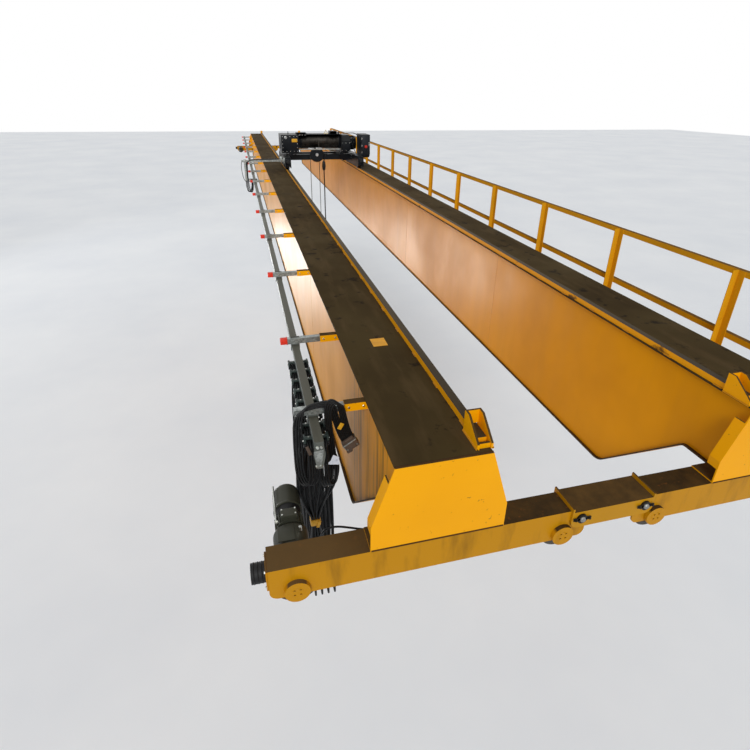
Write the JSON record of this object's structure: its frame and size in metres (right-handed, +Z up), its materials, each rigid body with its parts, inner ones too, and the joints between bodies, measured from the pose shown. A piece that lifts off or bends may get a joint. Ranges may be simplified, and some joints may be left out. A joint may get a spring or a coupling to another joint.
{
  "type": "double girder overhead crane",
  "caption": "Overhead travelling crane: two plate box girders on wheeled end trucks, with a rope hoist trolley, festoon line and side walkway.",
  "frame": {"origin": "mid-span, midway between the girders, level with the runway rail heads", "axes": "+X the way the crane travels, +Y along the girders, +Z up"},
  "size_m": [4.213, 22.71, 3.3117],
  "materials": {
    "primer": "matt primer",
    "yellow_paint": "gloss enamel",
    "rail_steel": "mill steel with paint on its sides",
    "black_paint": "satin",
    "trolley_black": "satin",
    "drive_grey": "satin",
    "galvanised": "galvanised",
    "machined_steel": "machined",
    "wheel_steel": "turned tread",
    "wire_rope": "greased wire rope",
    "red_plastic": "moulded cap",
    "carriage_plastic": "moulded",
    "brown_plastic": "moulded",
    "cable_sheath": "cable sheath",
    "rubber": "moulded rubber"
  },
  "bodies": {
    "bridge": {"girder_top_plates": "primer", "girder_webs": "yellow_paint", "girder_bottom_plates": "yellow_paint", "girder_end_boxes": "yellow_paint", "trolley_rails": "rail_steel", "rail_end_stops": "yellow_paint", "end_truck_near_left": "yellow_paint", "end_truck_near_right": "yellow_paint", "end_truck_far_left": "yellow_paint", "end_truck_far_right": "yellow_paint", "link_beams": "yellow_paint", "link_pins": "black_paint", "buffers": "rubber", "travel_gearcases": "drive_grey", "travel_motors": "drive_grey", "festoon_brackets": "yellow_paint", "festoon_arms": "galvanised", "festoon_arm_caps": "red_plastic", "festoon_track": "galvanised", "cable_carriages": "carriage_plastic", "cable_bundle": "cable_sheath", "cable_connector": "brown_plastic", "walkway_deck": "yellow_paint", "walkway_brackets": "yellow_paint", "handrail_posts": "yellow_paint", "handrails": "yellow_paint"},
    "trolley": {"crab_carriages": "trolley_black", "crab_cross_beams": "trolley_black", "crab_drives": "trolley_black", "hoist_bearers": "trolley_black", "hoist_gearcase": "trolley_black", "hoist_frame": "trolley_black", "hoist_top_boxes": "trolley_black", "sheave_support": "trolley_black", "rope_guide": "machined_steel", "motor_housing": "trolley_black", "hoist_motor": "trolley_black", "control_cabinet": "trolley_black", "cabinet_brackets": "trolley_black", "tow_arm": "galvanised", "tow_carriage": "carriage_plastic", "dead_end_rope": "wire_rope", "drum_rope": "wire_rope"},
    "rope_drum": {"rope_drum": "machined_steel"},
    "return_sheave": {"return_sheave": "machined_steel"},
    "hook_block": {"hook_block": "black_paint", "block_sheave": "machined_steel"},
    "hook": {"crane_hook": "machined_steel"},
    "crane_wheel_near_1": {"crane_wheel_near_1": "wheel_steel"},
    "crane_wheel_near_2": {"crane_wheel_near_2": "wheel_steel"},
    "crane_wheel_near_3": {"crane_wheel_near_3": "wheel_steel"},
    "crane_wheel_near_4": {"crane_wheel_near_4": "wheel_steel"},
    "crane_wheel_far_1": {"crane_wheel_far_1": "wheel_steel"},
    "crane_wheel_far_2": {"crane_wheel_far_2": "wheel_steel"},
    "crane_wheel_far_3": {"crane_wheel_far_3": "wheel_steel"},
    "crane_wheel_far_4": {"crane_wheel_far_4": "wheel_steel"},
    "crab_wheel_1": {"crab_wheel_1": "wheel_steel"},
    "crab_wheel_2": {"crab_wheel_2": "wheel_steel"},
    "crab_wheel_3": {"crab_wheel_3": "wheel_steel"},
    "crab_wheel_4": {"crab_wheel_4": "wheel_steel"}
  },
  "joints": [
    {"name": "crane_wheel_near_1_turn", "type": "hinge", "parent": "bridge", "child": "crane_wheel_near_1", "pos_m": [-1.7775, -11.25, 0.1], "axis": [0, 1, 0], "continuous": true},
    {"name": "crane_wheel_near_2_turn", "type": "hinge", "parent": "bridge", "child": "crane_wheel_near_2", "pos_m": [-0.3075, -11.25, 0.1], "axis": [0, 1, 0], "continuous": true},
    {"name": "crane_wheel_near_3_turn", "type": "hinge", "parent": "bridge", "child": "crane_wheel_near_3", "pos_m": [0.3075, -11.25, 0.1], "axis": [0, 1, 0], "continuous": true},
    {"name": "crane_wheel_near_4_turn", "type": "hinge", "parent": "bridge", "child": "crane_wheel_near_4", "pos_m": [1.7775, -11.25, 0.1], "axis": [0, 1, 0], "continuous": true},
    {"name": "crane_wheel_far_1_turn", "type": "hinge", "parent": "bridge", "child": "crane_wheel_far_1", "pos_m": [-1.7775, 11.25, 0.1], "axis": [0, 1, 0], "continuous": true},
    {"name": "crane_wheel_far_2_turn", "type": "hinge", "parent": "bridge", "child": "crane_wheel_far_2", "pos_m": [-0.3075, 11.25, 0.1], "axis": [0, 1, 0], "continuous": true},
    {"name": "crane_wheel_far_3_turn", "type": "hinge", "parent": "bridge", "child": "crane_wheel_far_3", "pos_m": [0.3075, 11.25, 0.1], "axis": [0, 1, 0], "continuous": true},
    {"name": "crane_wheel_far_4_turn", "type": "hinge", "parent": "bridge", "child": "crane_wheel_far_4", "pos_m": [1.7775, 11.25, 0.1], "axis": [0, 1, 0], "continuous": true},
    {"name": "trolley_travel", "type": "slide", "parent": "bridge", "child": "trolley", "axis": [0, 1, 0], "range_m": [-8.5, 10.6]},
    {"name": "crab_wheel_1_turn", "type": "hinge", "parent": "trolley", "child": "crab_wheel_1", "pos_m": [-0.825, -1.06, 0.8703], "axis": [1, 0, 0], "continuous": true},
    {"name": "crab_wheel_2_turn", "type": "hinge", "parent": "trolley", "child": "crab_wheel_2", "pos_m": [-0.825, 0.14, 0.8703], "axis": [1, 0, 0], "continuous": true},
    {"name": "crab_wheel_3_turn", "type": "hinge", "parent": "trolley", "child": "crab_wheel_3", "pos_m": [0.825, -1.06, 0.8703], "axis": [1, 0, 0], "continuous": true},
    {"name": "crab_wheel_4_turn", "type": "hinge", "parent": "trolley", "child": "crab_wheel_4", "pos_m": [0.825, 0.14, 0.8703], "axis": [1, 0, 0], "continuous": true},
    {"name": "drum_turn", "type": "hinge", "parent": "trolley", "child": "rope_drum", "pos_m": [0, -0.4777, 1.327], "axis": [1, 0, 0], "continuous": true},
    {"name": "return_sheave_turn", "type": "hinge", "parent": "trolley", "child": "return_sheave", "pos_m": [-0.0937, -0.7, 1.047], "axis": [0, 1, 0], "continuous": true},
    {"name": "hook_lift", "type": "slide", "parent": "trolley", "child": "hook_block", "axis": [0, 0, 1], "range_m": [-5.2, 0.8], "deforming": ["dead_end_rope", "drum_rope"]},
    {"name": "hook_swivel", "type": "hinge", "parent": "hook_block", "child": "hook", "pos_m": [-0.1425, -0.67, -1.475], "axis": [0, 0, 1], "continuous": true}
  ],
  "couplings": [
    {"joint": "drum_turn", "follows": "hook_lift", "rad_per_m": 12.323}
  ]
}
